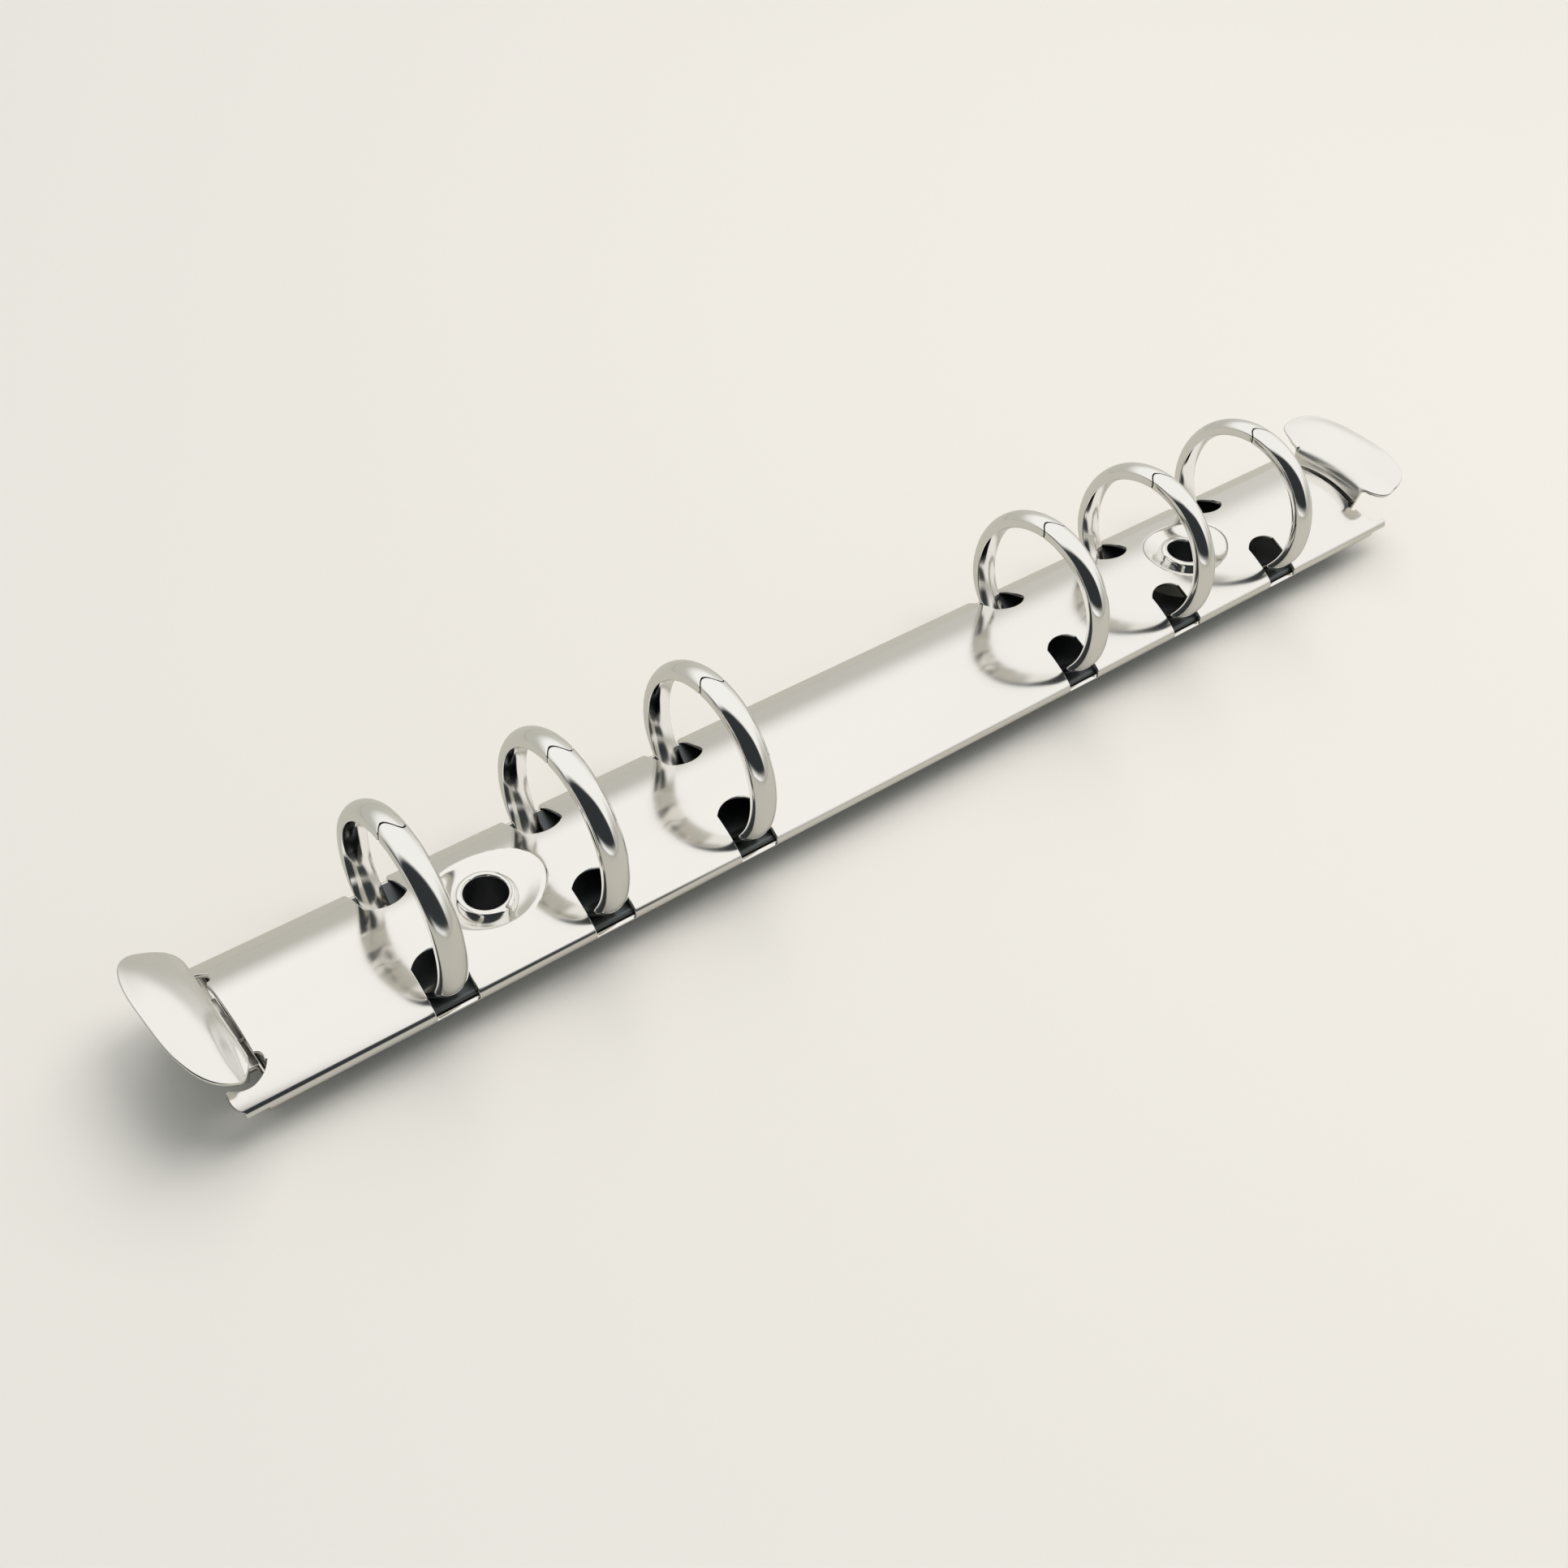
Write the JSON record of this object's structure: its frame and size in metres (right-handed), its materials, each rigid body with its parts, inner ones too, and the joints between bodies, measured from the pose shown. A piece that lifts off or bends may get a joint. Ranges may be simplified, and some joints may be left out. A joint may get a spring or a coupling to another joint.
{
  "type": "ring binder mechanism",
  "caption": "Ring binder mechanism for a personal organiser: arched plated housing, snap-over hinge plates, split rings, thumb levers and hollow mounting posts.",
  "frame": {"origin": "middle of the mechanism in plan, at the height of the lower ends of the mounting posts", "axes": "+X along the spine, +Y across it towards the far row of ring halves, +Z out of the book towards the tops of the rings"},
  "size_m": [0.1806, 0.0222, 0.0227],
  "materials": {
    "housing_plating": "polished nickel plate",
    "hinge_plate_steel": "plain plated steel sheet",
    "ring_plating": "polished nickel plate",
    "lever_plating": "polished nickel plate",
    "post_plating": "polished nickel plate"
  },
  "bodies": {
    "housing": {"housing": "housing_plating", "post_left": "post_plating", "post_right": "post_plating"},
    "near_plate": {"blade_near": "hinge_plate_steel", "ring_near_1": "ring_plating", "ring_near_2": "ring_plating", "ring_near_3": "ring_plating", "ring_near_4": "ring_plating", "ring_near_5": "ring_plating", "ring_near_6": "ring_plating"},
    "far_plate": {"blade_far": "hinge_plate_steel", "ring_far_1": "ring_plating", "ring_far_2": "ring_plating", "ring_far_3": "ring_plating", "ring_far_4": "ring_plating", "ring_far_5": "ring_plating", "ring_far_6": "ring_plating"},
    "lever_left": {"lever_left": "lever_plating"},
    "lever_right": {"lever_right": "lever_plating"}
  },
  "joints": [
    {"name": "near_hinge", "type": "hinge", "parent": "housing", "child": "near_plate", "pos_m": [0, -0.00855, 0.00415], "axis": [1, 0, 0], "range_deg": [0, 19]},
    {"name": "far_hinge", "type": "hinge", "parent": "housing", "child": "far_plate", "pos_m": [0, 0.00855, 0.00415], "axis": [-1, 0, 0], "range_deg": [0, 19]},
    {"name": "lever_right_hinge", "type": "hinge", "parent": "housing", "child": "lever_right", "pos_m": [0.082, 0, 0.00415], "axis": [0, 1, 0], "range_deg": [0, 32.3]},
    {"name": "lever_left_hinge", "type": "hinge", "parent": "housing", "child": "lever_left", "pos_m": [-0.082, 0, 0.00415], "axis": [0, -1, 0], "range_deg": [0, 32.3]}
  ],
  "couplings": [
    {"joint": "far_hinge", "follows": "near_hinge", "ratio": 1},
    {"joint": "lever_right_hinge", "follows": "near_hinge", "ratio": 1.7},
    {"joint": "lever_left_hinge", "follows": "near_hinge", "ratio": 1.7}
  ]
}
